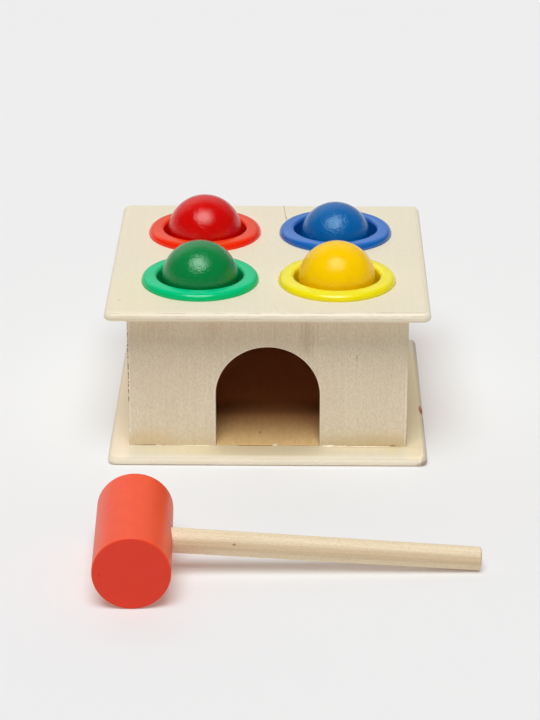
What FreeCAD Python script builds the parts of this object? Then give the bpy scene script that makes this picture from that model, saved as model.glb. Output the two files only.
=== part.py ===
import FreeCAD, Part
import math
import os
import re
import Sketcher

doc = FreeCAD.newDocument("PoundingBench")

# Driving dimensions of the toy, in millimetres and degrees
driving = {
    "board_width": (149, "top and base board, side to side"),
    "board_depth": (147, "top board, front to back"),
    "base_setback": (1.5, "base board's front edge, behind the top board's"),
    "ply": (4.8, "plywood of the boards and panels"),
    "bench_height": (77.4, "table to the top board's upper face"),
    "board_corner": (4, "corner radius of the boards in plan"),
    "upper_round": (2.6, "rounding of a board's upper arris"),
    "lower_round": (2.0, "rounding of a board's lower arris"),
    "box_width": (130, "outside of the box, side to side"),
    "box_depth": (119, "outside of the box, front to back"),
    "panel_round": (0.6, "sanding of the arrises that a hand meets"),
    "door_width": (48.5, "doorway between its jambs"),
    "door_height": (50, "doorway from the base board to its crown"),
    "ramp_ply": (3, "thinner plywood of the ramp"),
    "ramp_tip": (0.5, "thickness left at the ramp's front end"),
    "ramp_rise": (18, "ramp's upper face at the back, above the base board"),
    "ramp_play": (0.3, "gap beside the ramp's tongue in the doorway"),
    "ball_spacing": (64, "between ball centres, both ways"),
    "ball_diameter": (36.4, "the red, green and yellow balls"),
    "small_ball_diameter": (34.3, "the blue ball"),
    "seat_gap": (0.15, "between a ball and the lip that holds it"),
    "hole_diameter": (44, "holes in the top board"),
    "flange_diameter": (55, "ring's flange on the board"),
    "flange_height": (3.5, "ring's flange above the board"),
    "flange_round": (3, "rounding of the flange's outer arris"),
    "flange_crown": (19.5, "radius of the flange's crowned top"),
    "mouth_diameter": (40.2, "ring's inside below its rounded mouth"),
    "mouth_round": (2.0, "rounding of the ring's inner arris"),
    "barrel_play": (0.25, "gap round the ring's barrel in its hole"),
    "barrel_wall": (1.8, "ring's wall inside the hole"),
    "catch_play": (0.2, "gap between the board and the ring's catch"),
    "catch_depth": (1.6, "height of the catch under the board"),
    "catch_reach": (0.45, "catch past the wall of the hole"),
    "catch_lead": (0.9, "slope that lets the catch into the hole"),
    "lip_diameter": (32, "opening inside the lip"),
    "lip_drop": (8.4, "middle of the lip's edge, below the board's face"),
    "lip_round": (0.65, "radius of the lip's round edge"),
    "lip_bend": (2.5, "bend from the barrel into the lip"),
    "head_diameter": (33.2, "mallet head"),
    "head_length": (62, "mallet head"),
    "head_round": (0.9, "rounding of the head's arrises"),
    "bore_diameter": (11, "hole for the handle in the mallet head"),
    "bore_past_axis": (8, "how far the hole runs past the head's axis"),
    "bore_off_middle": (2, "hole behind the middle of the head's length"),
    "glue_gap": (0.05, "glue round the handle in its hole"),
    "handle_reach": (148.7, "handle's free end from the head's axis"),
    "handle_end_diameter": (10.2, "handle at its free end"),
    "handle_end_round": (1.1, "rounding of the handle's free end"),
    "mallet_x": (-55.4, "middle of the mallet head as it lies"),
    "mallet_y": (-179.8, "middle of the mallet head as it lies"),
    "mallet_turn": (1.9, "mallet turned on the table, in degrees"),
    "rest_gap": (0.02, "between the handle's end and the table"),
}

sizes = doc.addObject("Spreadsheet::Sheet", "Sizes")
for row, (alias, (number, note)) in enumerate(driving.items(), start=1):
    sizes.set(f"A{row}", note)
    sizes.set(f"B{row}", str(number))
    sizes.setAlias(f"B{row}", alias)
doc.recompute()


def bound(text):
    """Turn the driving names in an expression into references to the sheet."""
    return re.sub(r"[a-z_]+", lambda m: "Sizes." * (m.group() in driving) + m.group(), text)


def number_of(text):
    """What an expression comes to, used to draw a sketch near its final shape."""
    answer = sizes.evalExpression(bound(text))
    return float(getattr(answer, "Value", answer))


def new_body(name):
    body = doc.addObject("PartDesign::Body", name)
    body.Label = name
    return body


def place(body, x="0", y="0", z="0"):
    for letter, text in zip("xyz", (x, y, z)):
        body.setExpression(f"Placement.Base.{letter}", bound(text))
    doc.recompute()


def new_sketch(body, name, role):
    """A sketch on one of the body's own origin planes."""
    sketch = body.newObject("Sketcher::SketchObject", name)
    plane = next(item for item in body.Origin.OriginFeatures if item.Role == role)
    sketch.AttachmentSupport = [(plane, "")]
    sketch.MapMode = "FlatFace"
    return sketch


def pin(sketch, edge, end, label, way, text):
    """Hold a point of a sketch at an expression, across (x) or up (y) from the origin."""
    if text == "0":
        axis = {"x": -2, "y": -1}[way]
        sketch.addConstraint(Sketcher.Constraint("PointOnObject", edge, end, axis))
        return
    kind = f"Distance{way.upper()}"
    rule = Sketcher.Constraint(kind, -1, 1, edge, end, number_of(text))
    sketch.renameConstraint(sketch.addConstraint(rule), f"{label}_{way}")
    sketch.setExpression(f"Constraints.{label}_{way}", bound(text))


def draw_outline(sketch, points, arcs=None):
    """Close a run of named points with lines, and with an arc after a point named in arcs.

    An arc's entry holds its centre, the way in which its two ends leave the centre
    free, and whether it runs clockwise.
    """
    arcs = arcs or {}
    names = list(points)
    spots = {name: FreeCAD.Vector(*map(number_of, points[name]), 0) for name in names}
    edges = []
    for name, after in zip(names, names[1:] + names[:1]):
        start, end = spots[name], spots[after]
        if name not in arcs:
            edges.append((sketch.addGeometry(Part.LineSegment(start, end)), 1, 2))
            continue
        centre, free_way, clockwise = arcs[name]
        middle = FreeCAD.Vector(*map(number_of, centre), 0)
        circle = Part.Circle(middle, FreeCAD.Vector(0, 0, 1), (start - middle).Length)
        ends = (end, start) if clockwise else (start, end)
        angles = [math.atan2(spot.y - middle.y, spot.x - middle.x) for spot in ends]
        arc = sketch.addGeometry(Part.ArcOfCircle(circle, *angles))
        edges.append((arc, 2, 1) if clockwise else (arc, 1, 2))
        pin(sketch, arc, 3, f"{name}_centre", free_way, centre["xy".index(free_way)])
    for (edge, _, end), (after, start, _) in zip(edges, edges[1:] + edges[:1]):
        sketch.addConstraint(Sketcher.Constraint("Coincident", edge, end, after, start))
    for name, (edge, start, _) in zip(names, edges):
        for way, text in zip("xy", points[name]):
            pin(sketch, edge, start, name, way, text)


def draw_circle(sketch, name, x, y, diameter):
    middle = FreeCAD.Vector(number_of(x), number_of(y), 0)
    circle = Part.Circle(middle, FreeCAD.Vector(0, 0, 1), number_of(diameter) / 2)
    edge = sketch.addGeometry(circle)
    pin(sketch, edge, 3, name, "x", x)
    pin(sketch, edge, 3, name, "y", y)
    rule = Sketcher.Constraint("Diameter", edge, number_of(diameter))
    sketch.renameConstraint(sketch.addConstraint(rule), f"{name}_across")
    sketch.setExpression(f"Constraints.{name}_across", bound(diameter))


def centred_rectangle(width, depth):
    half_width, half_depth = f"({width}) / 2", f"({depth}) / 2"
    return {
        "near_left": (f"-{half_width}", f"-{half_depth}"),
        "near_right": (half_width, f"-{half_depth}"),
        "far_right": (half_width, half_depth),
        "far_left": (f"-{half_width}", half_depth),
    }


def pad(body, sketch, length, reversed_way=False, both_ways=False):
    feature = body.newObject("PartDesign::Pad", f"{sketch.Name}_pad")
    feature.Profile = sketch
    feature.Reversed = reversed_way
    feature.Midplane = both_ways
    feature.setExpression("Length", bound(length))
    doc.recompute()


def cut(body, sketch, reversed_way=False, both_ways=False):
    """A pocket right through, which has to take some material away."""
    before = body.Shape.Volume
    feature = body.newObject("PartDesign::Pocket", f"{sketch.Name}_pocket")
    feature.Profile = sketch
    feature.Type = "ThroughAll"
    feature.Reversed = reversed_way
    feature.Midplane = both_ways
    doc.recompute()
    if not feature.Shape.Volume < before - 1:
        raise RuntimeError(f"{feature.Name} cuts nothing")


def spin(body, sketch, axis="V_Axis"):
    feature = body.newObject("PartDesign::Revolution", f"{sketch.Name}_turned")
    feature.Profile = sketch
    feature.ReferenceAxis = (sketch, [axis])
    feature.Angle = 360
    doc.recompute()


def round_edges(body, name, radius, chosen):
    """Fillet the edges of the body's last feature that the test chosen accepts."""
    base = body.Tip
    edges = [f"Edge{i}" for i, edge in enumerate(base.Shape.Edges, start=1) if chosen(edge)]
    if not edges:
        raise RuntimeError(f"{name} finds no edge")
    feature = body.newObject("PartDesign::Fillet", name)
    feature.Base = (base, edges)
    feature.setExpression("Radius", bound(radius))
    doc.recompute()


def near(first, second, tolerance=1e-4):
    return abs(first - second) < tolerance


def is_upright(edge):
    straight = isinstance(edge.Curve, Part.Line)
    return straight and near(abs(edge.tangentAt(edge.FirstParameter).z), 1)


def lies_at(letter, level):
    """A test for edges that lie wholly in one plane across an axis."""
    def test(edge):
        box = edge.BoundBox
        low, high = getattr(box, f"{letter}Min"), getattr(box, f"{letter}Max")
        return near(low, level) and near(high, level)
    return test


def is_rim(radius, height):
    """A test for a turned piece's round edge of one radius and height."""
    def test(edge):
        round_edge = isinstance(edge.Curve, Part.Circle)
        return round_edge and near(edge.Curve.Radius, radius) and near(edge.BoundBox.ZMax, height)
    return test


def make_board(name, depth):
    """A plywood board with round corners and a soft edge all round."""
    body = new_body(name)
    sketch = new_sketch(body, f"{name}_outline", "XY_Plane")
    draw_outline(sketch, centred_rectangle("board_width", depth))
    pad(body, sketch, "ply")
    round_edges(body, f"{name}_corners", "board_corner", is_upright)
    round_edges(body, f"{name}_upper_edge", "upper_round", lies_at("Z", number_of("ply")))
    round_edges(body, f"{name}_lower_edge", "lower_round", lies_at("Z", 0))
    return body


def make_base_board():
    """The lower board, in line with the upper one except at the front."""
    body = make_board("base_board", "board_depth - base_setback")
    place(body, y="base_setback / 2")
    return body


def make_top_board():
    """The upper board, with a hole for each ring."""
    body = make_board("top_board", "board_depth")
    holes = new_sketch(body, "ring_holes", "XY_Plane")
    for ring, (x, y) in ring_spots.items():
        draw_circle(holes, ring, x, y, "hole_diameter")
    cut(body, holes, reversed_way=True)
    place(body, z="bench_height - ply")
    return body


def make_front_panel():
    """The front of the box, with a round-topped doorway open at the foot."""
    body = new_body("front_panel")
    sketch = new_sketch(body, "front_outline", "XZ_Plane")
    half_width, half_door = "box_width / 2", "door_width / 2"
    spring = "door_height - door_width / 2"
    points = {
        "left_foot": (f"-{half_width}", "0"),
        "left_jamb_foot": (f"-{half_door}", "0"),
        "left_spring": (f"-{half_door}", spring),
        "right_spring": (half_door, spring),
        "right_jamb_foot": (half_door, "0"),
        "right_foot": (half_width, "0"),
        "right_top": (half_width, panel_height),
        "left_top": (f"-{half_width}", panel_height),
    }
    draw_outline(sketch, points, {"left_spring": (("0", spring), "y", True)})
    pad(body, sketch, "ply", reversed_way=True)
    on_face = lies_at("Y", 0)
    foot, top = lies_at("Z", 0), lies_at("Z", number_of(panel_height))
    round_edges(body, "front_panel_sanding", "panel_round",
                lambda edge: on_face(edge) and not foot(edge) and not top(edge))
    place(body, y="-box_depth / 2", z="ply")
    return body


def make_back_panel():
    """The back of the box, as wide as the front."""
    body = new_body("back_panel")
    sketch = new_sketch(body, "back_outline", "XY_Plane")
    draw_outline(sketch, centred_rectangle("box_width", "ply"))
    pad(body, sketch, panel_height)
    is_back = lies_at("Y", number_of("ply / 2"))
    round_edges(body, "back_panel_sanding", "panel_round",
                lambda edge: is_upright(edge) and is_back(edge))
    place(body, y="box_depth / 2 - ply / 2", z="ply")
    return body


def make_side_panel(name, side):
    """A side of the box, held between the front and the back."""
    body = new_body(name)
    sketch = new_sketch(body, f"{name}_outline", "XY_Plane")
    draw_outline(sketch, centred_rectangle("ply", "box_depth - 2 * ply"))
    pad(body, sketch, panel_height)
    place(body, x=f"{side} * (box_width / 2 - ply / 2)", z="ply")
    return body


def make_ramp_board():
    """The sloping floor: thin at the front, where its tongue fills the doorway."""
    body = new_body("ramp_board")
    section = new_sketch(body, "ramp_section", "YZ_Plane")
    slope = "(ramp_rise - ramp_tip) / (box_depth - ply)"
    back = "box_depth / 2 - ply"
    back_low = f"ramp_rise - ramp_ply * sqrt(1 + ({slope})^2)"
    draw_outline(section, {
        "tip_low": ("-box_depth / 2", "0"),
        "heel": (f"{back} - ({back_low}) / ({slope})", "0"),
        "back_low": (back, back_low),
        "back_high": (back, "ramp_rise"),
        "tip_high": ("-box_depth / 2", "ramp_tip"),
    })
    pad(body, section, "box_width - 2 * ply", both_ways=True)
    corners = new_sketch(body, "ramp_corners", "XY_Plane")
    tongue, wing = "door_width / 2 - ramp_play", "box_width / 2"
    shoulder, clear = "-box_depth / 2 + ply", "-box_depth / 2 - ply"
    for side, mark in (("left", "-"), ("right", "")):
        draw_outline(corners, {
            f"{side}_inner_front": (f"{mark}({tongue})", clear),
            f"{side}_outer_front": (f"{mark}({wing})", clear),
            f"{side}_outer_back": (f"{mark}({wing})", shoulder),
            f"{side}_inner_back": (f"{mark}({tongue})", shoulder),
        })
    cut(body, corners, both_ways=True)
    place(body, z="ply")
    return body


def make_ring(name, x, y):
    """A soft plastic ring: flange, barrel, catch, and the lip that the ball sits on."""
    body = new_body(name)
    section = new_sketch(body, f"{name}_section", "XZ_Plane")
    flange, mouth = "flange_diameter / 2", "mouth_diameter / 2"
    crest = f"({mouth} + mouth_round)"
    crown_centre = "(flange_height - flange_crown)"
    flange_top = f"{crown_centre} + sqrt(flange_crown^2 - ({flange} - {crest})^2)"
    mouth_centre = "flange_height - mouth_round"
    barrel = "(hole_diameter / 2 - barrel_play)"
    inside = f"({barrel} - barrel_wall)"
    catch = "hole_diameter / 2 + catch_reach"
    catch_top, catch_foot = "-(ply + catch_play)", "-(ply + catch_play + catch_depth)"
    half_edge = "lip_round * sqrt(0.5)"
    lip_across, lip_down = "(lip_diameter / 2 + lip_round)", "(-lip_drop)"
    upper = (f"{lip_across} - {half_edge}", f"{lip_down} + {half_edge}")
    lower = (f"{lip_across} + {half_edge}", f"{lip_down} - {half_edge}")
    draw_outline(section, {
        "barrel_top": (barrel, "0"),
        "flange_foot": (flange, "0"),
        "flange_edge": (flange, flange_top),
        "crest": (crest, "flange_height"),
        "mouth": (mouth, mouth_centre),
        "bend": (inside, f"{upper[1]} + {inside} - ({upper[0]})"),
        "lip_upper": upper,
        "lip_lower": lower,
        "lip_root": (f"{lower[0]} + {catch_foot} - ({lower[1]})", catch_foot),
        "catch_foot": (f"{catch} - catch_lead", catch_foot),
        "catch_edge": (catch, f"{catch_foot} + catch_lead"),
        "catch_top": (catch, catch_top),
        "neck": (barrel, catch_top),
    }, {
        "flange_edge": ((crest, crown_centre), "x", False),
        "crest": ((crest, mouth_centre), "x", False),
        "lip_upper": ((lip_across, lip_down), "y", False),
    })
    spin(body, section)
    flange_rim = is_rim(number_of(flange), number_of(flange_top))
    round_edges(body, f"{name}_flange", "flange_round", flange_rim)
    bend_height = number_of(f"{upper[1]} + {inside} - ({upper[0]})")
    round_edges(body, f"{name}_bend", "lip_bend", is_rim(number_of(inside), bend_height))
    place(body, x, y, "bench_height")
    return body


def make_ball(name, x, y, diameter):
    """A turned ball, resting on the round edge of its ring's lip."""
    body = new_body(name)
    section = new_sketch(body, f"{name}_section", "XZ_Plane")
    radius = f"{diameter} / 2"
    poles = {"low_pole": ("0", f"-{radius}"), "high_pole": ("0", radius)}
    draw_outline(section, poles, {"low_pole": (("0", "0"), "x", False)})
    spin(body, section)
    lip = "(lip_diameter / 2 + lip_round)"
    seat = f"sqrt(({radius} + lip_round + seat_gap)^2 - {lip}^2) - lip_drop"
    place(body, x, y, f"bench_height + {seat}")
    return body


def lying_mallet():
    """Where the mallet lies: its head on the table and its handle's end just clear of it."""
    along = sizes.handle_reach - sizes.handle_end_round
    below = sizes.handle_end_diameter / 2 - sizes.handle_end_round
    drop = sizes.head_diameter / 2 - sizes.handle_end_round - sizes.rest_gap
    lean = math.asin(drop / math.hypot(along, below)) - math.atan2(below, along)
    middle = FreeCAD.Vector(sizes.mallet_x, sizes.mallet_y, sizes.head_diameter / 2)
    turn = FreeCAD.Rotation(sizes.mallet_turn, math.degrees(lean), 0)
    return FreeCAD.Placement(middle, turn)


def make_mallet_head():
    """A turned cylinder with a blind hole for the handle, drilled across its grain."""
    body = new_body("mallet_head")
    section = new_sketch(body, "head_section", "XZ_Plane")
    draw_circle(section, "head", "0", "0", "head_diameter")
    pad(body, section, "head_length", both_ways=True)
    round_edges(body, "head_arrises", "head_round",
                lambda edge: isinstance(edge.Curve, Part.Circle))
    hole = new_sketch(body, "handle_hole", "YZ_Plane")
    hole.setExpression("AttachmentOffset.Base.z", bound("-bore_past_axis"))
    draw_circle(hole, "bore", "bore_off_middle", "0", "bore_diameter")
    cut(body, hole, reversed_way=True)
    body.Placement = lying_mallet()
    return body


def make_mallet_handle():
    """A dowel that thins a little towards its free end."""
    body = new_body("mallet_handle")
    section = new_sketch(body, "handle_section", "XY_Plane")
    fitted, end = "bore_diameter / 2 - glue_gap", "handle_end_diameter / 2"
    draw_outline(section, {
        "inner_axis": ("-bore_past_axis + glue_gap", "0"),
        "free_axis": ("handle_reach", "0"),
        "free_edge": ("handle_reach", end),
        "shoulder": ("head_diameter / 2", fitted),
        "inner_edge": ("-bore_past_axis + glue_gap", fitted),
    })
    spin(body, section, "H_Axis")
    free_end = lies_at("X", number_of("handle_reach"))
    round_edges(body, "handle_end", "handle_end_round", free_end)
    shift = FreeCAD.Placement(FreeCAD.Vector(0, sizes.bore_off_middle, 0), FreeCAD.Rotation())
    body.Placement = lying_mallet().multiply(shift)
    return body


panel_height = "bench_height - 2 * ply"
half_spacing = "ball_spacing / 2"
ring_spots = {
    "red": (f"-{half_spacing}", half_spacing),
    "blue": (half_spacing, half_spacing),
    "green": (f"-{half_spacing}", f"-{half_spacing}"),
    "yellow": (half_spacing, f"-{half_spacing}"),
}

pieces = [
    make_base_board(),
    make_top_board(),
    make_front_panel(),
    make_back_panel(),
    make_side_panel("left_side_panel", -1),
    make_side_panel("right_side_panel", 1),
    make_ramp_board(),
]
for colour, (across, along) in ring_spots.items():
    diameter = "small_ball_diameter" if colour == "blue" else "ball_diameter"
    pieces.append(make_ring(f"ring_{colour}", across, along))
    pieces.append(make_ball(f"ball_{colour}", across, along, diameter))
pieces += [make_mallet_head(), make_mallet_handle()]
doc.recompute()

failed = [item.Name for item in doc.Objects if {"Invalid", "Error"} & set(item.State)]
failed += [piece.Label for piece in pieces
           if piece.Shape.isNull() or not piece.Shape.isValid() or len(piece.Shape.Solids) != 1]
if failed:
    raise RuntimeError(f"these did not build: {failed}")

os.makedirs("parts", exist_ok=True)
for piece in pieces:
    piece.Shape.exportStep(f"parts/{piece.Label}.step")
    box = piece.Shape.optimalBoundingBox()
    print(f"{piece.Label:18s} volume {piece.Shape.Volume / 1000:7.2f} cm3,"
          f" x {box.XMin:7.2f} to {box.XMax:7.2f}, y {box.YMin:7.2f} to {box.YMax:7.2f},"
          f" z {box.ZMin:6.2f} to {box.ZMax:6.2f}")
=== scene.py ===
import math

import bmesh
import bpy
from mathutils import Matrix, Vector, noise


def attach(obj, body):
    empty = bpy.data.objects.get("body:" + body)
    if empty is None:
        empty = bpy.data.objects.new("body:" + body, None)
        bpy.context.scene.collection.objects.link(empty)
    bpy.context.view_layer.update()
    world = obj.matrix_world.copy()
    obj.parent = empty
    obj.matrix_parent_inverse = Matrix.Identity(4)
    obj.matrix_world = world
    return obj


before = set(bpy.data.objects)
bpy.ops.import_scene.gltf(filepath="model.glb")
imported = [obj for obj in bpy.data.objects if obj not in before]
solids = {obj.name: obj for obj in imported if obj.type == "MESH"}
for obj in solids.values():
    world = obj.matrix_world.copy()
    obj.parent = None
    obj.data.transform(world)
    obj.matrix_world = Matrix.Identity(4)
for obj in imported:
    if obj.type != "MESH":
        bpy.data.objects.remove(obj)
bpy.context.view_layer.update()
print("frame loaded,", len(solids), "solids")


def tint(red, green, blue):
    # a colour as it is picked on screen, in the linear values that shaders take
    levels = [level / 255 for level in (red, green, blue)]
    straight = [v / 12.92 if v <= 0.04045 else ((v + 0.055) / 1.055) ** 2.4 for v in levels]
    return (*straight, 1)


def darker(colour, share):
    return tuple(level * share for level in colour)


def mark(mask, share, colour):
    # share is how plainly the mark shows where its mask is 1
    return mask * share, colour


class Wire:
    # a node's output: sums on it add Math nodes
    def __init__(self, shading, socket):
        self.shading = shading
        self.socket = socket

    def combine(self, operation, first, second):
        return self.shading.node("Math", {"operation": operation}, {0: first, 1: second})

    def __add__(self, other):
        return self.combine("ADD", self, other)

    def __radd__(self, other):
        return self.combine("ADD", other, self)

    def __sub__(self, other):
        return self.combine("SUBTRACT", self, other)

    def __rsub__(self, other):
        return self.combine("SUBTRACT", other, self)

    def __mul__(self, other):
        return self.combine("MULTIPLY", self, other)

    def __rmul__(self, other):
        return self.combine("MULTIPLY", other, self)

    def __pow__(self, other):
        return self.combine("POWER", self, other)

    def __abs__(self):
        return self.combine("ABSOLUTE", self, 0)

    def most(self, other):
        return self.combine("MAXIMUM", self, other)


class Shading:
    # the nodes of a material or of the world
    def __init__(self, owner):
        owner.use_nodes = True
        self.tree = owner.node_tree
        self.tree.nodes.clear()

    def node(self, kind, settings=None, sockets=None, output=0):
        made = self.tree.nodes.new("ShaderNode" + kind)
        for name, value in (settings or {}).items():
            setattr(made, name, value)
        for name, value in (sockets or {}).items():
            if isinstance(value, Wire):
                self.tree.links.new(value.socket, made.inputs[name])
            else:
                made.inputs[name].default_value = value
        return Wire(self, made.outputs[output]) if made.outputs else None

    def ray(self, kind):
        # 1 for light paths of this kind
        return self.node("LightPath", output=f"Is {kind} Ray")

    def scaled(self, vector, by):
        by = (by, by, by) if isinstance(by, (int, float)) else by
        return self.node("VectorMath", {"operation": "MULTIPLY"}, {0: vector, 1: by})

    def shifted(self, vector, by):
        return self.node("VectorMath", {"operation": "ADD"}, {0: vector, 1: by})

    def axis(self, vector, letter):
        return self.node("SeparateXYZ", None, {0: vector}, "xyz".index(letter))

    def along(self, vector, direction):
        return self.node("VectorMath", {"operation": "DOT_PRODUCT"}, {0: vector, 1: direction}, 1)

    def noise(self, vector, detail=2, roughness=0.5, distortion=0):
        return self.node("TexNoise", None, {
            "Vector": vector, "Scale": 1, "Detail": detail, "Roughness": roughness,
            "Distortion": distortion,
        })

    def step(self, value, low, high):
        # rises softly from 0 at low to 1 at high
        return self.node("MapRange", {"interpolation_type": "SMOOTHSTEP"}, {
            "Value": value, "From Min": low, "From Max": high,
        })

    def band(self, value, middle, half):
        # 1 on a thin layer
        return 1 - self.step(abs(value - middle), half * 0.5, half * 1.5)

    def within(self, value, low, high, soft):
        # 1 from low to high
        falling = 1 - self.step(value, high - soft, high + soft)
        return self.step(value, low - soft, low + soft) * falling

    def mix(self, factor, first, second):
        return self.node("Mix", {"data_type": "RGBA"}, {0: factor, 6: first, 7: second}, 2)


class Finish(Shading):
    # one material: a Principled shader and what feeds it
    def __init__(self, name, **constants):
        self.material = bpy.data.materials.new(name)
        super().__init__(self.material)
        spaced = {socket.replace("_", " "): value for socket, value in constants.items()}
        shader = self.node("BsdfPrincipled", None, spaced)
        self.node("OutputMaterial", None, {"Surface": shader})
        self.shader = shader.socket.node
        self.facing = self.node("TexCoord", output="Normal")
        metres = self.node("TexCoord", output="Object")
        self.place = self.scaled(metres, 1000)    # where on the part, in millimetres

    def pattern(self, waves, detail=2, roughness=0.5, distortion=0):
        # noise with this many waves in a millimetre, or one number for each direction
        return self.noise(self.scaled(self.place, waves), detail, roughness, distortion)

    def spot(self, centre, reach, soft):
        # 1 inside an egg-shaped place on the part, 0 outside
        away = self.scaled(self.shifted(self.place, tuple(-c for c in centre)),
                           tuple(1 / r for r in reach))
        size = self.node("VectorMath", {"operation": "LENGTH"}, {0: away}, 1)
        return 1 - self.step(size, 1 - soft, 1 + soft)

    def spots(self, rows, where=1):
        # rows of centre, reach, softness, share and colour
        return [mark(self.spot(centre, reach, soft) * where, share, colour)
                for centre, reach, soft, share, colour in rows]

    def stained(self, colour, marks):
        # the marks lie over each other
        for factor, stain in marks:
            colour = self.mix(factor, colour, tint(*stain))
        return colour

    def feed(self, **wires):
        for socket, wire in wires.items():
            self.tree.links.new(wire.socket, self.shader.inputs[socket.replace("_", " ")])

    def bump(self, height, millimetres):
        return self.node("Bump", None, {"Height": height, "Distance": millimetres / 1000,
                                        "Strength": 1})


def give(node, material):
    for slot in solids[node].material_slots:
        slot.material = material


# camera: fitted to the corners of the boards, the doorway and the rings

cameraLook = {
    "position": (0.01485, -1.1446, 0.5111),
    "tiltDown": 0.4029,
    "turnLeft": 0.0127,
    "lens": 127.5,
    "sensor": 36,
    "clip": (0.05, 30),
}


def makeCamera(look):
    lens = bpy.data.cameras.new("camera")
    lens.lens = look["lens"]
    lens.sensor_width = look["sensor"]
    lens.clip_start, lens.clip_end = look["clip"]
    camera = bpy.data.objects.new("camera", lens)
    camera.location = look["position"]
    camera.rotation_euler = (math.pi / 2 - look["tiltDown"], 0, look["turnLeft"])
    bpy.context.scene.collection.objects.link(camera)
    bpy.context.scene.camera = camera


makeCamera(cameraLook)


# studio: one soft box overhead, a little in front and to the left, and bright paper behind

keyLook = {
    "power": 2.8,
    "spread": 40,                # degrees that the soft box fills, seen from the part
    "lean": 22,                  # degrees towards the camera
    "left": 2.5,
}


def makeKey(look):
    sun = bpy.data.lights.new("softbox", "SUN")
    sun.energy = look["power"]
    sun.angle = math.radians(look["spread"])
    lamp = bpy.data.objects.new("softbox", sun)
    lamp.rotation_euler = (math.radians(look["lean"]), -math.radians(look["left"]), 0)
    bpy.context.scene.collection.objects.link(lamp)


makeKey(keyLook)

roomLook = {
    "level": 0.096,
    "paperLevel": 0.784,
    "paperTop": 55,              # degrees up behind the part
    "paperEdge": 0.04,
    "paperSides": (0.3, 0.7),    # it fades in towards the back
    "paperFoot": (0.25, 0.5),    # and is dimmer near the floor
    "paperDim": 0.35,
    "paperLeft": 0.8,            # how much brighter it is on the left
    "behind": 0.863,             # what the camera sees past the floor
    "glossTop": (0.06, 0.12),    # gloss sees that too, up to here
}


def makeRoom(look):
    world = bpy.data.worlds.new("room")
    bpy.context.scene.world = world
    room = Shading(world)
    direction = room.node("TexCoord", output="Generated")
    sideways, back, up = (room.axis(direction, letter) for letter in "xyz")
    top = math.sin(math.radians(look["paperTop"]))
    dim = look["paperDim"]
    paper = room.step(back, *look["paperSides"])
    paper = paper * (1 - room.step(up, top - look["paperEdge"], top + look["paperEdge"]))
    paper = paper * (dim + room.step(up, *look["paperFoot"]) * (1 - dim))
    paper = paper * (1 - sideways * look["paperLeft"])
    level = look["level"] + paper * (look["paperLevel"] - look["level"])
    low = 1 - room.step(up, *look["glossTop"])
    seen = room.ray("Camera").most(room.ray("Transmission")).most(room.ray("Glossy") * low)
    level = level * (1 - seen) + seen * look["behind"]
    background = room.node("Background", None, {"Color": (1, 1, 1, 1), "Strength": level})
    room.node("OutputWorld", None, {"Surface": background})


makeRoom(roomLook)

floorLook = {
    "half": 7,
    "bounce": (245, 245, 245),   # what the part sees of it
    "seen": (239, 239, 239),     # what the camera sees
    "glow": (0.29, 0.2, 0.165),  # share of each colour that no shadow takes away
    "light": 1.04,               # how bright the open floor is lit
}


def makeFloor(look):
    half = look["half"]
    shape = bmesh.new()
    shape.faces.new([shape.verts.new((x * half, y * half, 0))
                     for x, y in ((-1, -1), (1, -1), (1, 1), (-1, 1))])
    mesh = bpy.data.meshes.new("floor")
    shape.to_mesh(mesh)
    shape.free()
    floor = bpy.data.objects.new("floor", mesh)
    bpy.context.scene.collection.objects.link(floor)
    sheet = Finish("studio_paper", Roughness=1, Specular_IOR_Level=0, Emission_Strength=1)
    seen = sheet.ray("Camera").most(sheet.ray("Glossy")).most(sheet.ray("Transmission"))
    levels = list(zip(tint(*look["seen"]), look["glow"]))
    shown = (*(v * (1 - share) / look["light"] for v, share in levels), 1)
    glow = (*(v * share for v, share in levels), 1)
    sheet.feed(Base_Color=sheet.mix(seen, tint(*look["bounce"]), shown),
               Emission_Color=sheet.mix(seen, (0, 0, 0, 1), glow))
    mesh.materials.append(sheet.material)


makeFloor(floorLook)
bpy.context.scene.view_settings.view_transform = "Standard"
print("camera and studio made")


# birch plywood: the grain of each veneer runs across the next, glue lines between them

plyLook = {                              # what all the plywood shares
    "blend": 0.04,                       # half the depth in which a veneer passes into the next
    "seam": 0.09,                        # half a glue line
    "torn": (0.13, 0.13, 1.5),           # torn places in a millimetre of glue line
    "tornShares": (0.12, 0.6),           # how plain a glue line is, and how much more if torn
    "vessels": (1.5, 0.16),              # in a millimetre, across and along the grain
    "cloud": 0.03,                       # mottles in a millimetre
    "roughness": (0.48, 0.2),            # at the least, and what fibres add
}


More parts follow.
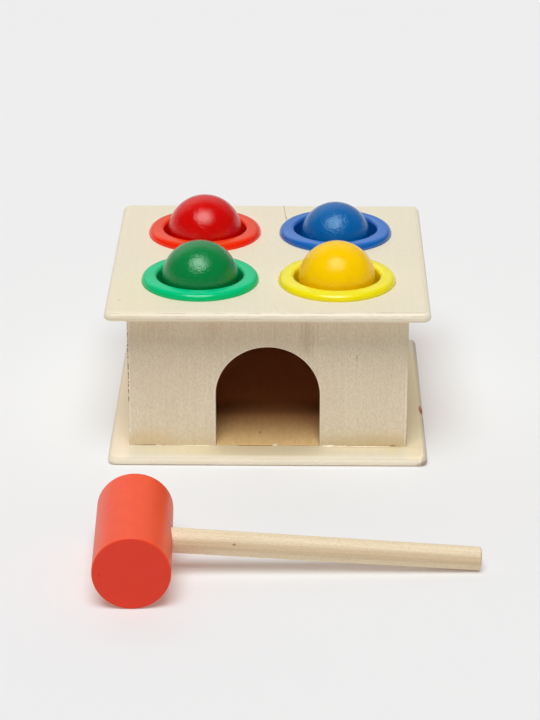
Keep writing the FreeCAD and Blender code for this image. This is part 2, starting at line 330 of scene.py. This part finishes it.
def plywood(name, look, marks):
    # marks gives what lies over the veneers of this board alone
    wood = Finish(name)
    depth = wood.along(wood.place, look["through"]) - look["underside"]
    core = None                          # 1 in the veneers that run crosswise
    glue = None
    for number, line in enumerate(look["lines"]):
        edge = wood.step(depth, line - look["blend"], line + look["blend"])
        seam = wood.band(depth, line, look["seam"])
        if core is None:
            core, glue = edge, seam
        else:
            core = core - edge if number % 2 else core + edge
            glue = glue.most(seam)

    def stretched(wide, long, way):
        return tuple(long if letter == way else wide for letter in "xyz")

    def veneer(way):
        cells = wood.node("TexVoronoi", None, {
            "Vector": wood.scaled(wood.place, stretched(*look["fine"], way)), "Scale": 1,
        }, 1)
        return wood.pattern(stretched(*look["broad"], way), 3, 0.6, 0.5), wood.axis(cells, "x")

    grain, other = look["grain"], look["other"]
    faceStreak, faceFibre = veneer(grain)
    crossStreak, crossFibre = veneer(other)
    streak = faceStreak * (1 - core) + crossStreak * core
    fibre = faceFibre * (1 - core) + crossFibre * core
    faceEnd, crossEnd = (abs(wood.axis(wood.facing, letter)) for letter in (grain, other))
    endGrain = wood.step(faceEnd * (1 - core) + crossEnd * core, 0.45, 0.9)
    beside = wood.step(abs(wood.axis(wood.facing, "x")), 0.03, 0.3)
    flat = wood.step(wood.axis(wood.facing, "z"), 0.97, 0.995)
    plain, more = look["tornShares"]
    torn = wood.step(wood.pattern(look["torn"], roughness=0.7), 0.42, 0.62)
    crack = glue * (plain + torn * more) * (1 - beside * 0.8) * (1 - flat)
    mottle = wood.step(wood.pattern(look["cloud"]), 0.45, 0.75)
    vessels = wood.pattern(stretched(*look["vessels"], grain), detail=1)
    fleck = wood.step(vessels, 0.66, 0.78)

    colour = wood.stained(tint(*look["face"]), [
        mark(wood.step(streak, 0.3, 0.7), look["streak"], look["faceDark"]),
        mark(fibre, look["fibre"], look["faceDark"]),
        (core * (0.85 - beside * 0.6), look["cross"]),
        (endGrain * (0.5 + fibre * 0.5), look["endGrain"]),
        mark(mottle, look["mottle"], look["faceDark"]),
        mark(fleck, *look["fleck"]),
        (crack, look["glueLine"]),
        *marks(wood, look, streak),
    ])
    height = vessels * 0.6 + fibre * 0.15 + streak * 0.2 - crack * 0.7 - fleck * 0.4
    smooth, fuzzy = look["roughness"]
    wood.feed(
        Base_Color=colour,
        Roughness=smooth + fibre * fuzzy,
        Normal=wood.bump(height, look["depth"]),
    )
    return wood.material


boardLook = {
    **plyLook,
    "grain": "y",                        # the way that the face veneer runs
    "other": "x",
    "face": (236, 227, 203),
    "faceDark": (226, 215, 188),
    "cross": (248, 239, 216),
    "endGrain": (238, 228, 206),
    "glueLine": (190, 160, 124),
    "fleck": (0.2, (186, 150, 108)),     # how plain it is, and its colour
    "fibre": 0.25,                       # how plain each pattern is
    "streak": 0.2,
    "mottle": 0.1,
    "fine": (2.2, 0.5),                  # fibres in a millimetre, across and along the grain
    "broad": (0.5, 0.014),
    "depth": 0.03,                       # of the relief
}

baseLook = {
    **boardLook,
    "through": (0, 0, 1),                # the way through the veneers
    "underside": 0,
    "lines": (0.5, 1.7, 2.65, 3.6),      # heights of the glue lines over the underside
    "face": (223, 215, 190),
    "faceDark": (213, 203, 177),
    "cross": (236, 224, 199),
    "endGrain": (230, 220, 198),
    # painted shade: the rounded edges, which face the light, are made darker
    "sanded": (0.6, (220, 211, 187)),
    # painted light on the upright faces of the edges, above the very bottom
    "edge": (0.5, (255, 246, 224)),
    # a painted highlight, then painted shade, along the rounding of the right edge
    "cornerLight": (0.5, (246, 236, 214)),
    "cornerShade": (0.55, (176, 160, 146)),
    "stains": (                          # stains, glue and a knot, and some painted light and shade; centre, reach, softness, how plain, colour
        ((73, -70.5, 1), (3.5, 4, 1.6), 0.5, 0.5, (120, 82, 54)),
        ((50, -60.2, 4.8), (24, 1.4, 1), 0.6, 0.5, (205, 182, 138)),
        # the next two: painted light on the strips beside the box, which lie in its shade
        ((-69, -10, 4.8), (7, 75, 2), 0.4, 0.7, (253, 233, 204)),
        ((69, -10, 4.8), (7, 75, 2), 0.4, 0.6, (251, 232, 190)),
        ((58.1, -64.6, 4.8), (3, 4.5, 2), 0.8, 0.2, (238, 214, 146)),
        ((-30, -64, 4.8), (26, 5, 2), 0.7, 0.3, (238, 218, 166)),
        ((45, -62.5, 4.8), (16, 2, 2), 0.7, 0.3, (244, 228, 186)),
        ((74.1, -29, 3.2), (0.5, 9, 1), 0.5, 0.4, (130, 98, 78)),
        ((73.5, -16.6, 4), (1.1, 4.8, 1.5), 0.35, 0.85, (184, 92, 30)),     # a knot
        ((73.7, -17.4, 3.9), (0.5, 2, 0.8), 0.4, 0.8, (96, 38, 8)),
        # painted shade on the strip before the doorway
        ((0, -64, 4.8), (26, 7, 2), 0.7, 0.5, (208, 182, 136)),
    ),
}


def baseMarks(wood, look, streak):
    # painted shade and painted light on the edges, glue that soaked in before the box, a knot on
    # the right edge, and painted light and shade around the box
    z = wood.axis(wood.place, "z")
    turned = wood.axis(wood.facing, "z")
    sideways = wood.axis(wood.facing, "x")
    # painted light where the edges turn upright
    edge = (1 - wood.step(turned, 0.25, 0.6)) * wood.step(z, 0.3, 0.7)
    return [
        mark(wood.within(turned, 0.5, 0.93, 0.1), *look["sanded"]),
        mark(edge, *look["edge"]),
        mark(wood.band(sideways, 0.12, 0.08), *look["cornerLight"]),
        mark(wood.step(sideways, 0.15, 0.45), *look["cornerShade"]),
        *wood.spots(look["stains"]),
    ]


give("base_board", plywood("base_birch", baseLook, baseMarks))

topLook = {
    **boardLook,
    "through": (-0.0046, 0, 1),          # its veneers lie a little out of true
    "underside": 72.6,
    "lines": (0.6, 1.95, 3.2, 4.39),
    # painted shade on the lower part of the edges, which turn down from the light
    "lowEdge": (0.15, (214, 178, 132)),
    "split": (0.75, (168, 130, 92)),
    "splitFrom": (6.5, 71.5),            # a hairline from this x at the back edge
    "splitLean": 0.077,
    "splitWander": 1.5,
    "splitHalf": 0.22,                   # of its width
    "splitReach": (51, 73.6, 1.5),       # from, to and softness
    "warm": (((-62, -52, 77.4), (14, 26, 8), 0.6, 0.35, (240, 226, 190)),),
    "spots": (
        ((41.4, 66, 77.4), (0.5, 0.7, 2), 0.5, 0.7, (150, 104, 62)),
        ((45.2, 64.2, 77.4), (0.4, 0.4, 2), 0.5, 0.7, (150, 104, 62)),
        ((12.4, -40, 77.4), (0.3, 1.4, 2), 0.5, 0.5, (176, 140, 100)),
        ((-68.2, -58, 77.4), (0.5, 0.6, 2), 0.5, 0.4, (176, 140, 100)),
    ),
}


def topMarks(wood, look, streak):
    # painted shade low on the edges, a warm corner, a split and a few brown flecks
    x, y, z = (wood.axis(wood.place, letter) for letter in "xyz")
    start, back = look["splitFrom"]
    aside = (back - y) * look["splitLean"] + (streak - 0.5) * look["splitWander"]
    split = wood.band(x - aside, start, look["splitHalf"]) * wood.within(y, *look["splitReach"])
    return [
        mark(1 - wood.step(z, 74.5, 75.1), *look["lowEdge"]),
        *wood.spots(look["warm"]),
        mark(split, *look["split"]),
        *wood.spots(look["spots"]),
    ]


give("top_board", plywood("top_birch", topLook, topMarks))

panelLook = {
    **plyLook,
    "grain": "z",
    "face": (243, 230, 204),
    "faceDark": (216, 198, 166),
    "cross": (240, 224, 192),
    "endGrain": (222, 202, 168),
    "glueLine": (170, 138, 104),
    "fleck": (0.15, (166, 134, 102)),
    "inside": (255, 208, 156),           # a cheaper, redder veneer faces the inside of the box
    "insideDeep": 0.15,
    "lines": (0.5, 1.7, 3.1, 4.3),
    "fibre": 0.62,
    "streak": 0.25,
    "mottle": 0.15,
    "fine": (3.0, 1.1),
    "broad": (1.0, 0.03),
    "depth": 0.05,
}

frontLook = {
    **panelLook,
    "through": (0, 1, 0),
    "other": "x",
    "underside": -59.5,
    "insideFace": ("y", -54.7),
    "outsideFace": (-59.3, -58.9),
    "doorRadius": 24.25,
    "archStart": 30.35,                  # height
    "doorEdge": (0.35, 0.3),             # how far from the doorway, and half its width
    # a painted light line round the doorway's edge, stronger up the arch
    "sanded": (1, (252, 240, 222)),
    "foot": (0.3, (226, 206, 154)),
    "footTop": (4, 17),
    # painted shade in the crease just above the glue bead
    "overBead": (0.3, (176, 140, 92)),
    "ragged": (0.1, 0.1, 0.9),           # dashes in a millimetre up the edges
    # lines up the edges: x, half their width, from, to, softness, how plain, colour
    "tornRight": (64.8, 0.2, 0, 19, 3, 0.7, (150, 98, 56)),
    "tornLeft": (-64.75, 0.28, 27, 67, 2, 0.85, (116, 72, 46)),
    # the next two: painted light lines up the panel's edges
    "lineLeft": (-64.2, 0.35, 12, 70, 4, 0.5, (252, 240, 222)),
    "lineRight": (64.4, 0.45, 5, 44, 3, 0.45, (252, 240, 222)),
    "mottles": (
        ((-54, -59.5, 64), (9, 2, 4.5), 0.7, 0.3, (206, 166, 132)),
        ((-27, -59.5, 63.5), (5, 2, 4), 0.7, 0.3, (206, 166, 132)),
        ((2, -59.5, 66), (30, 2, 5), 0.7, 0.3, (214, 180, 148)),
    ),
    "figure": (((18.5, -59.5, 60.5), (4, 2, 8), 0.6, 0.35, (190, 158, 128)),),
    "footStain": (((44, -59.5, 5), (24, 2, 5), 0.7, 0.4, (204, 180, 126)),),
    "stains": (
        ((-55, -59.5, 8), (9, 2, 5), 0.6, 0.3, (224, 190, 130)),
        ((56, -59.5, 7), (8, 2, 5), 0.6, 0.2, (224, 192, 134)),
        ((58.6, -59.5, 5), (1.3, 2, 0.5), 0.5, 0.7, (150, 100, 56)),
        ((-55, -59.5, 4.9), (6, 2, 0.35), 0.5, 0.7, (150, 110, 66)),
        ((41.3, -59.5, 49.8), (0.2, 2, 1.8), 0.4, 0.5, (128, 100, 72)),
        ((52.9, -59.5, 54), (0.3, 2, 0.4), 0.4, 0.35, (128, 104, 78)),
    ),
    "splinter": (((-64.6, -59.5, 12.4), (0.6, 2, 0.9), 0.4, 0.6, (252, 246, 236)),),
}


def insideMarks(wood, look, streak):
    letter, face = look["insideFace"]
    inside = wood.band(wood.axis(wood.place, letter), face, look["insideDeep"])
    return [(inside * (0.75 + streak * 0.25), look["inside"])]


def frontMarks(wood, look, streak):
    # a painted light line round the doorway, warm mottles, glue stains at the foot, painted shade
    # above the glue bead, dark dashes and painted light lines up the edges
    x, y, z = (wood.axis(wood.place, letter) for letter in "xyz")
    onFace = 1 - wood.step(y, *look["outsideFace"])
    rise = (z - look["archStart"]).most(0)
    fromDoor = (x * x + rise * rise) ** 0.5 - look["doorRadius"]
    # painted light line round the doorway, stronger up the arch
    sanded = wood.band(fromDoor, *look["doorEdge"]) * (0.5 + wood.step(z, 26, 34) * 0.4)
    foot = (1 - wood.step(z, *look["footTop"])) * (0.4 + streak * 0.6)
    # painted shade just above the glue bead
    overBead = wood.within(x, 27, 60, 2) * (1 - wood.step(z, 5.1, 5.7))
    ragged = wood.pattern(look["ragged"], roughness=0.7)

    def upright(where, middle, half, low, high, soft, share, colour):
        line = wood.band(x, middle, half) * wood.within(z, low, high, soft)
        return mark(line * where * onFace, share, colour)

    return [
        *wood.spots(look["mottles"], streak),
        *wood.spots(look["figure"], wood.step(streak, 0.35, 0.6)),
        mark(foot, *look["foot"]),
        *wood.spots(look["footStain"]),
        mark(overBead, *look["overBead"]),
        upright(wood.step(ragged, 0.4, 0.55), *look["tornRight"]),
        *wood.spots(look["stains"]),
        upright(1, *look["lineLeft"]),
        upright(1, *look["lineRight"]),
        upright(wood.step(ragged, 0.42, 0.56), *look["tornLeft"]),
        *wood.spots(look["splinter"]),
        mark(sanded * onFace, *look["sanded"]),
        *insideMarks(wood, look, streak),
    ]


give("front_panel", plywood("front_panel_birch", frontLook, frontMarks))

hiddenPanels = {
    "back_panel": {"through": (0, 1, 0), "other": "x", "underside": 54.7,
                   "insideFace": ("y", 54.7)},
    "left_side_panel": {"through": (1, 0, 0), "other": "y", "underside": -65,
                        "insideFace": ("x", -60.2)},
    "right_side_panel": {"through": (1, 0, 0), "other": "y", "underside": 60.2,
                         "insideFace": ("x", 60.2)},
}

for panel, placed in hiddenPanels.items():
    give(panel, plywood(panel + "_birch", {**panelLook, **placed}, insideMarks))

rampShape = {
    "rise": 17.5,
    "run": 114.2,
    "tip": (-59.5, 5.3),                 # y and height of its upper face at the front
    "thick": 3,
}

tilt = math.atan(rampShape["rise"] / rampShape["run"])
rampWay = (0, -math.sin(tilt), math.cos(tilt))
rampFace = rampShape["tip"][0] * rampWay[1] + rampShape["tip"][1] * rampWay[2]

rampLook = {
    **plyLook,
    "through": rampWay,
    "grain": "y",
    "other": "x",
    "underside": rampFace - rampShape["thick"],
    "face": (231, 197, 139),
    "faceDark": (212, 172, 114),
    "cross": (222, 184, 130),
    "endGrain": (232, 178, 104),
    "glueLine": (150, 112, 74),
    "fleck": (0.2, (130, 88, 54)),
    "lines": (0.9, 2.1),
    "fibre": 0.5,
    "streak": 0.45,
    "mottle": 0.3,
    "fine": (2.2, 0.6),
    "broad": (0.5, 0.03),
    "depth": 0.06,
    "further": (0.85, (186, 106, 54)),   # painted shade: darker and redder deeper inside the box
    # painted shade in a band across the ramp
    "soiled": (0.3, (120, 62, 34)),
    # lighter again at the back, out of sight, so that more light is bounced inside the box
    "back": (0.9, (227, 149, 99)),
    "tip": (1, (226, 200, 152)),
    "gapLight": (1, (255, 214, 128)),    # a painted highlight on the upper half of that gap, and painted shade on the lower
    "gapDark": (1, (132, 80, 30)),
    "knots": (
        ((-3.6, -49, 7), (0.4, 0.9, 1), 0.4, 0.6, (118, 68, 38)),
        ((-3.6, -27, 10.3), (0.3, 0.9, 1), 0.4, 0.45, (118, 68, 38)),
    ),
    "dot": (((3.4, -59.5, 5.2), (1, 1, 0.5), 0.5, 1, (255, 246, 222)),),
}


def rampMarks(wood, look, streak):
    # painted shade deeper along the run and in a band, lighter again at the back, two small
    # knots, and the bare tip with a painted highlight and painted shade in the gap beneath
    x, y, z = (wood.axis(wood.place, letter) for letter in "xyz")
    tip = 1 - wood.step(y, -59.45, -59.3)
    gap = wood.within(x, -14, 2, 0.8).most(wood.within(x, 10.5, 20, 2) * 0.4)
    above = wood.step(z, 5, 5.15)
    return [
        mark(wood.step(y, -59, -22), *look["further"]),
        mark(wood.within(y, -33, -25, 3), *look["soiled"]),
        mark(wood.step(y, -27, -17), *look["back"]),
        *wood.spots(look["knots"]),
        mark(tip, *look["tip"]),
        mark(tip * gap * above, *look["gapLight"]),
        mark(tip * gap * (1 - above), *look["gapDark"]),
        *wood.spots(look["dot"]),
    ]


give("ramp_board", plywood("ramp_birch", rampLook, rampMarks))
print("boards, panels and ramp finished")


# the rings: glossy moulded plastic

ringLook = {
    "ripple": 0.09,              # waves in a millimetre
    "grit": 1.6,
    "dust": 1.1,
    "rippleShare": 0.3,
    "rippleShade": 0.94,
    "dustShare": 0.25,
    "dustColour": (0.8, 0.8, 0.8, 1),
    "roughness": (0.13, 0.1),    # at the least, and what grit adds
    "gritHeight": 0.15,
    "depth": 0.02,
}

# colour is a paler copy for the flat tops, a painted sheen; steep is for the sides
ringColours = {
    "ring_green": {"colour": (0, 202, 136), "steep": (0, 194, 114), "sheen": 0.3, "milky": 0,
                   "shine": (0.8, 1, 1)},
    "ring_yellow": {"colour": (246, 234, 44), "steep": (251, 232, 0), "sheen": 0.4,
                    "milky": 0.3, "shine": (1, 1, 1)},
    "ring_red": {"colour": (239, 65, 20), "steep": (255, 32, 0), "sheen": 0.5, "milky": 0,
                 "shine": (1, 0.9, 0.7)},
    "ring_blue": {"colour": (40, 114, 200), "steep": (0, 94, 184), "sheen": 0.85, "milky": 0,
                  "shine": (1, 1, 1)},
}


def ringPlastic(name, look):
    plastic = Finish(name, IOR=1.5, Specular_IOR_Level=look["sheen"],
                     Specular_Tint=(*look["shine"], 1),
                     Subsurface_Weight=look["milky"], Subsurface_Scale=0.004,
                     Subsurface_Radius=(1, 1, 0.6))
    ripple = plastic.pattern(look["ripple"])
    grit = plastic.pattern(look["grit"], roughness=0.6)
    dust = plastic.step(plastic.pattern(look["dust"], detail=1), 0.76, 0.82)
    # flat tops take the paler colour, a painted sheen
    flat = plastic.step(plastic.axis(plastic.facing, "z"), 0.6, 0.95)
    shade = plastic.mix(flat, tint(*look["steep"]), tint(*look["colour"]))
    shade = plastic.mix(plastic.step(ripple, 0.3, 0.75) * look["rippleShare"], shade,
                        tint(*darker(look["colour"], look["rippleShade"])))
    smooth, rough = look["roughness"]
    plastic.feed(
        Base_Color=plastic.mix(dust * look["dustShare"], shade, look["dustColour"]),
        Roughness=smooth + grit * rough,
        Normal=plastic.bump(grit * look["gritHeight"] + ripple, look["depth"]),
    )
    return plastic.material


for ring, own in ringColours.items():
    give(ring, ringPlastic(ring + "_gloss", {**ringLook, **own}))


# the balls and the mallet's head: satin paint on turned wood, pebbled like orange peel

ballLook = {
    "peel": 1.3,                 # waves in a millimetre
    "flow": 0.2,
    "dust": 1.3,
    "flowShare": 0.25,
    "flowShade": 0.92,
    "dustShare": 0.2,
    "dustColour": (0.7, 0.7, 0.7, 1),
    "roughness": (0.04, 0.07),   # at the least, and what the peel adds
}

ballColours = {
    "ball_green": {"colour": (2, 130, 62), "pebble": 0.18, "sheen": 0.56,
                   "shine": (0.72, 1, 0.85)},
    "ball_yellow": {"colour": (255, 205, 0), "pebble": 0.15, "sheen": 0.22,
                    "shine": (1, 0.95, 0.8)},
    "ball_red": {"colour": (216, 2, 0), "pebble": 0.17, "sheen": 0.46,
                 "shine": (1, 0.86, 0.8)},
    "ball_blue": {"colour": (0, 98, 172), "pebble": 0.25, "sheen": 0.56,
                  "shine": (0.6, 0.95, 1)},
}


def ballPaint(name, look):
    paint = Finish(name, IOR=1.5, Specular_IOR_Level=look["sheen"],
                   Specular_Tint=(*look["shine"], 1))
    peel = paint.pattern(look["peel"], roughness=0.6)
    flow = paint.pattern(look["flow"])
    dust = paint.step(paint.pattern(look["dust"], detail=1), 0.76, 0.82)
    shade = paint.mix(paint.step(flow, 0.3, 0.75) * look["flowShare"], tint(*look["colour"]),
                      tint(*darker(look["colour"], look["flowShade"])))
    smooth, rough = look["roughness"]
    paint.feed(
        Base_Color=paint.mix(dust * look["dustShare"], shade, look["dustColour"]),
        Roughness=smooth + peel * rough,
        Normal=paint.bump(peel + flow, look["pebble"]),
    )
    return paint.material


for ball, own in ballColours.items():
    give(ball, ballPaint(ball + "_paint", {**ballLook, **own}))

headLook = {
    "lengthwise": (-0.033, 0.999, 0),
    "sheen": 0.26,
    "side": (248, 88, 50),
    "end": (226, 58, 34),
    "worn": (206, 60, 40),
    "wornShares": (0.12, 0.08),  # in clouds, and along the brush
    "dusty": (0.15, (255, 180, 150)),
    "brush": 1.2,                # waves in a millimetre
    "brushLength": 0.05,         # how many of them lie along the head
    "peel": 0.9,
    "cloud": 0.12,
    "dust": 1.2,
    "roughness": (0.3, 0.16, 0.15),      # at the least, what the peel adds, and the ends
    "brushHeight": 0.5,
    "depth": 0.05,
    "chips": (                   # a dot on the end, torn paint over and in front of the bore
        ((-67.7, -211.3, 16.2), (0.4, 2, 0.5), 0.4, 0.4, (140, 36, 24)),
        ((-40.0, -176.2, 22.4), (1.6, 0.7, 1.5), 0.4, 0.9, (196, 8, 0)),
        ((-39.4, -172.0, 20.9), (1.2, 1.0, 0.6), 0.4, 0.7, (255, 200, 180)),
        ((-39.5, -178.2, 21.2), (1.2, 2.6, 0.45), 0.4, 0.8, (172, 20, 2)),
    ),
}


def headPaint(look):
    paint = Finish("coral_paint_coat", IOR=1.5, Specular_IOR_Level=look["sheen"])
    lengthwise = look["lengthwise"]
    atEnd = paint.step(abs(paint.along(paint.facing, lengthwise)), 0.55, 0.95)
    sweep = paint.node("CombineXYZ", None, {
        0: paint.axis(paint.place, "x"),
        1: paint.along(paint.place, lengthwise) * look["brushLength"],
        2: paint.axis(paint.place, "z"),
    })
    brush = paint.noise(paint.scaled(sweep, look["brush"]), 3, 0.6)
    peel = paint.pattern(look["peel"], 3, 0.6)
    cloud = paint.pattern(look["cloud"])
    dust = paint.step(paint.pattern(look["dust"], detail=1), 0.75, 0.8)
    clouds, strokes = look["wornShares"]
    worn = paint.step(cloud, 0.35, 0.7) * clouds + paint.step(brush, 0.4, 0.7) * strokes
    colour = paint.mix(atEnd, tint(*look["side"]), tint(*look["end"]))
    colour = paint.stained(colour, [
        (worn, look["worn"]),
        mark(dust, *look["dusty"]),
        *paint.spots(look["chips"]),
    ])
    smooth, rough, ends = look["roughness"]
    paint.feed(
        Base_Color=colour,
        Roughness=smooth + peel * rough + atEnd * ends,
        Normal=paint.bump(peel + brush * look["brushHeight"], look["depth"]),
    )
    return paint.material


give("mallet_head", headPaint(headLook))


# the handle: a bare dowel

handleLook = {
    "way": (0.9964, 0.0331, -0.0775),    # along the dowel, then across it
    "across": (-0.0332, 0.9994, 0),
    "over": (0.0775, 0.0026, 0.997),
    "light": (242, 226, 194),
    "streaks": (0.3, (214, 188, 150)),
    "fibres": (0.6, (214, 188, 150)),
    # painted shade on the dowel's flanks and lower side
    "under": (188, 158, 118),
    "pores": (0.3, (158, 122, 78)),
    "swirl": (((-16, -181, 17.3), (12, 4, 1.4), 0.7, 0.25, (196, 158, 112)),),
    "knot": (((-12.6, -181.5, 15.3), (0.8, 2.5, 0.42), 0.5, 0.7, (122, 90, 40)),),
    "streak": (0.015, 1.1, 1.1),         # waves in a millimetre, along the dowel and across it
    "fibre": (0.7, 2.4, 2.4),
    "pore": (0.5, 1.8, 1.8),
    "roughness": (0.5, 0.16),            # at the least, and what fibres add
    "streakHeight": 0.5,
    "depth": 0.06,
}


def handleWood(look):
    wood = Finish("handle_dowel")
    point = wood.node("CombineXYZ", None, {
        number: wood.along(wood.place, look[name])
        for number, name in enumerate(("way", "across", "over"))
    })
    streak = wood.noise(wood.scaled(point, look["streak"]), 3, 0.6)
    fibre = wood.noise(wood.scaled(point, look["fibre"]), 3, 0.7)
    pores = wood.noise(wood.scaled(point, look["pore"]), 1)
    turned = wood.axis(wood.facing, "z")
    # painted shade: darker on the flanks and lower side of the dowel, least on the very bottom
    below = (1 - wood.step(turned, 0.35, 0.95)) * (0.1 + wood.step(turned, -0.45, 0.05) * 0.9)
    colour = wood.stained(tint(*look["light"]), [
        mark(wood.step(streak, 0.35, 0.68), *look["streaks"]),
        mark(wood.step(fibre, 0.35, 0.7), *look["fibres"]),
        (below * (0.4 + streak * 0.3), look["under"]),
        mark(wood.step(pores, 0.68, 0.78), *look["pores"]),
        *wood.spots(look["swirl"], wood.step(streak, 0.4, 0.55)),
        *wood.spots(look["knot"]),
    ])
    smooth, fuzzy = look["roughness"]
    wood.feed(
        Base_Color=colour,
        Roughness=smooth + fibre * fuzzy,
        Normal=wood.bump(fibre + streak * look["streakHeight"], look["depth"]),
    )
    return wood.material


give("mallet_handle", handleWood(handleLook))
print("rings, balls and mallet finished")


# glue squeezed out at the foot of the front panel

glueLook = {
    "colour": (255, 248, 226),
    "shade": (244, 230, 196),
    "cloud": 0.8,                # waves in a millimetre
    "roughness": (0.3, 0.2),
    "depth": 0.05,
    "beads": (
        {"from": 25.4, "to": 37.5, "wide": 1.6, "high": 0.7},
        {"from": 37.2, "to": 57.5, "wide": 0.9, "high": 0.22},
        {"from": -52.8, "to": -49.6, "wide": 0.8, "high": 0.5},
        {"from": -40.0, "to": -27.0, "wide": 0.6, "high": 0.3},
    ),
    "panelFace": -59.5,
    "boardFace": 4.8,
    "sunk": 0.12,                # how far the glue reaches into the panel and the board
    "thinnest": 0.05,
    "stride": 0.8,               # between two sections
    "turns": (0, 22.5, 45, 67.5, 90),
    "bulge": 0.18,
    "taper": 0.45,
    "lump": (0.7, 1.1),          # how thick on the whole, and how uneven
    "lumps": 0.33,               # in a millimetre
    "lumpRow": 3.1,
}


def beadMesh(look, bead):
    # a lumpy fillet in the corner, tapered at both ends
    shape = bmesh.new()
    length = bead["to"] - bead["from"]
    stations = max(8, int(length / look["stride"]))
    behind, below = look["panelFace"] + look["sunk"], look["boardFace"] - look["sunk"]
    thick, uneven = look["lump"]
    rings = []
    for number in range(stations + 1):
        part = number / stations
        x = bead["from"] + length * part
        swell = math.sin(math.pi * part) ** look["taper"]
        lump = thick + uneven * noise.noise(Vector((x * look["lumps"], look["lumpRow"], 0)))
        wide, high = (max(look["thinnest"], bead[way] * swell * lump) for way in ("wide", "high"))
        ring = [(x, behind, below), (x, look["panelFace"] - wide, below)]
        for turn in look["turns"]:
            angle = math.radians(turn)
            bulge = 1 + look["bulge"] * math.sin(2 * angle)
            ring.append((x, look["panelFace"] - wide * math.cos(angle) * bulge,
                         look["boardFace"] + high * math.sin(angle) * bulge))
        ring.append((x, behind, look["boardFace"] + high))
        rings.append([shape.verts.new([c / 1000 for c in point]) for point in ring])
    for first, second in zip(rings, rings[1:]):
        count = len(first)
        for n in range(count):
            after = (n + 1) % count
            shape.faces.new((first[n], first[after], second[after], second[n]))
    shape.faces.new(rings[0][::-1])
    shape.faces.new(rings[-1])
    bmesh.ops.recalc_face_normals(shape, faces=shape.faces)
    return shape


def finishPiece(name, shape, material, body):
    mesh = bpy.data.meshes.new(name)
    shape.to_mesh(mesh)
    shape.free()
    for polygon in mesh.polygons:
        polygon.use_smooth = True
    mesh.materials.append(material)
    piece = bpy.data.objects.new(name, mesh)
    bpy.context.scene.collection.objects.link(piece)
    smooth = piece.modifiers.new("smooth", "SUBSURF")
    smooth.levels = smooth.render_levels = 1
    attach(piece, body)


def driedGlue(look):
    glue = Finish("dried_glue")
    cloud = glue.pattern(look["cloud"], roughness=0.6)
    smooth, rough = look["roughness"]
    glue.feed(
        Base_Color=glue.mix(glue.step(cloud, 0.35, 0.7), tint(*look["colour"]),
                            tint(*look["shade"])),
        Roughness=smooth + cloud * rough,
        Normal=glue.bump(cloud, look["depth"]),
    )
    return glue.material


glue = driedGlue(glueLook)
for number, bead in enumerate(glueLook["beads"]):
    finishPiece(f"glue_bead_{number + 1}", beadMesh(glueLook, bead), glue, "bench")
print("glue beads made")
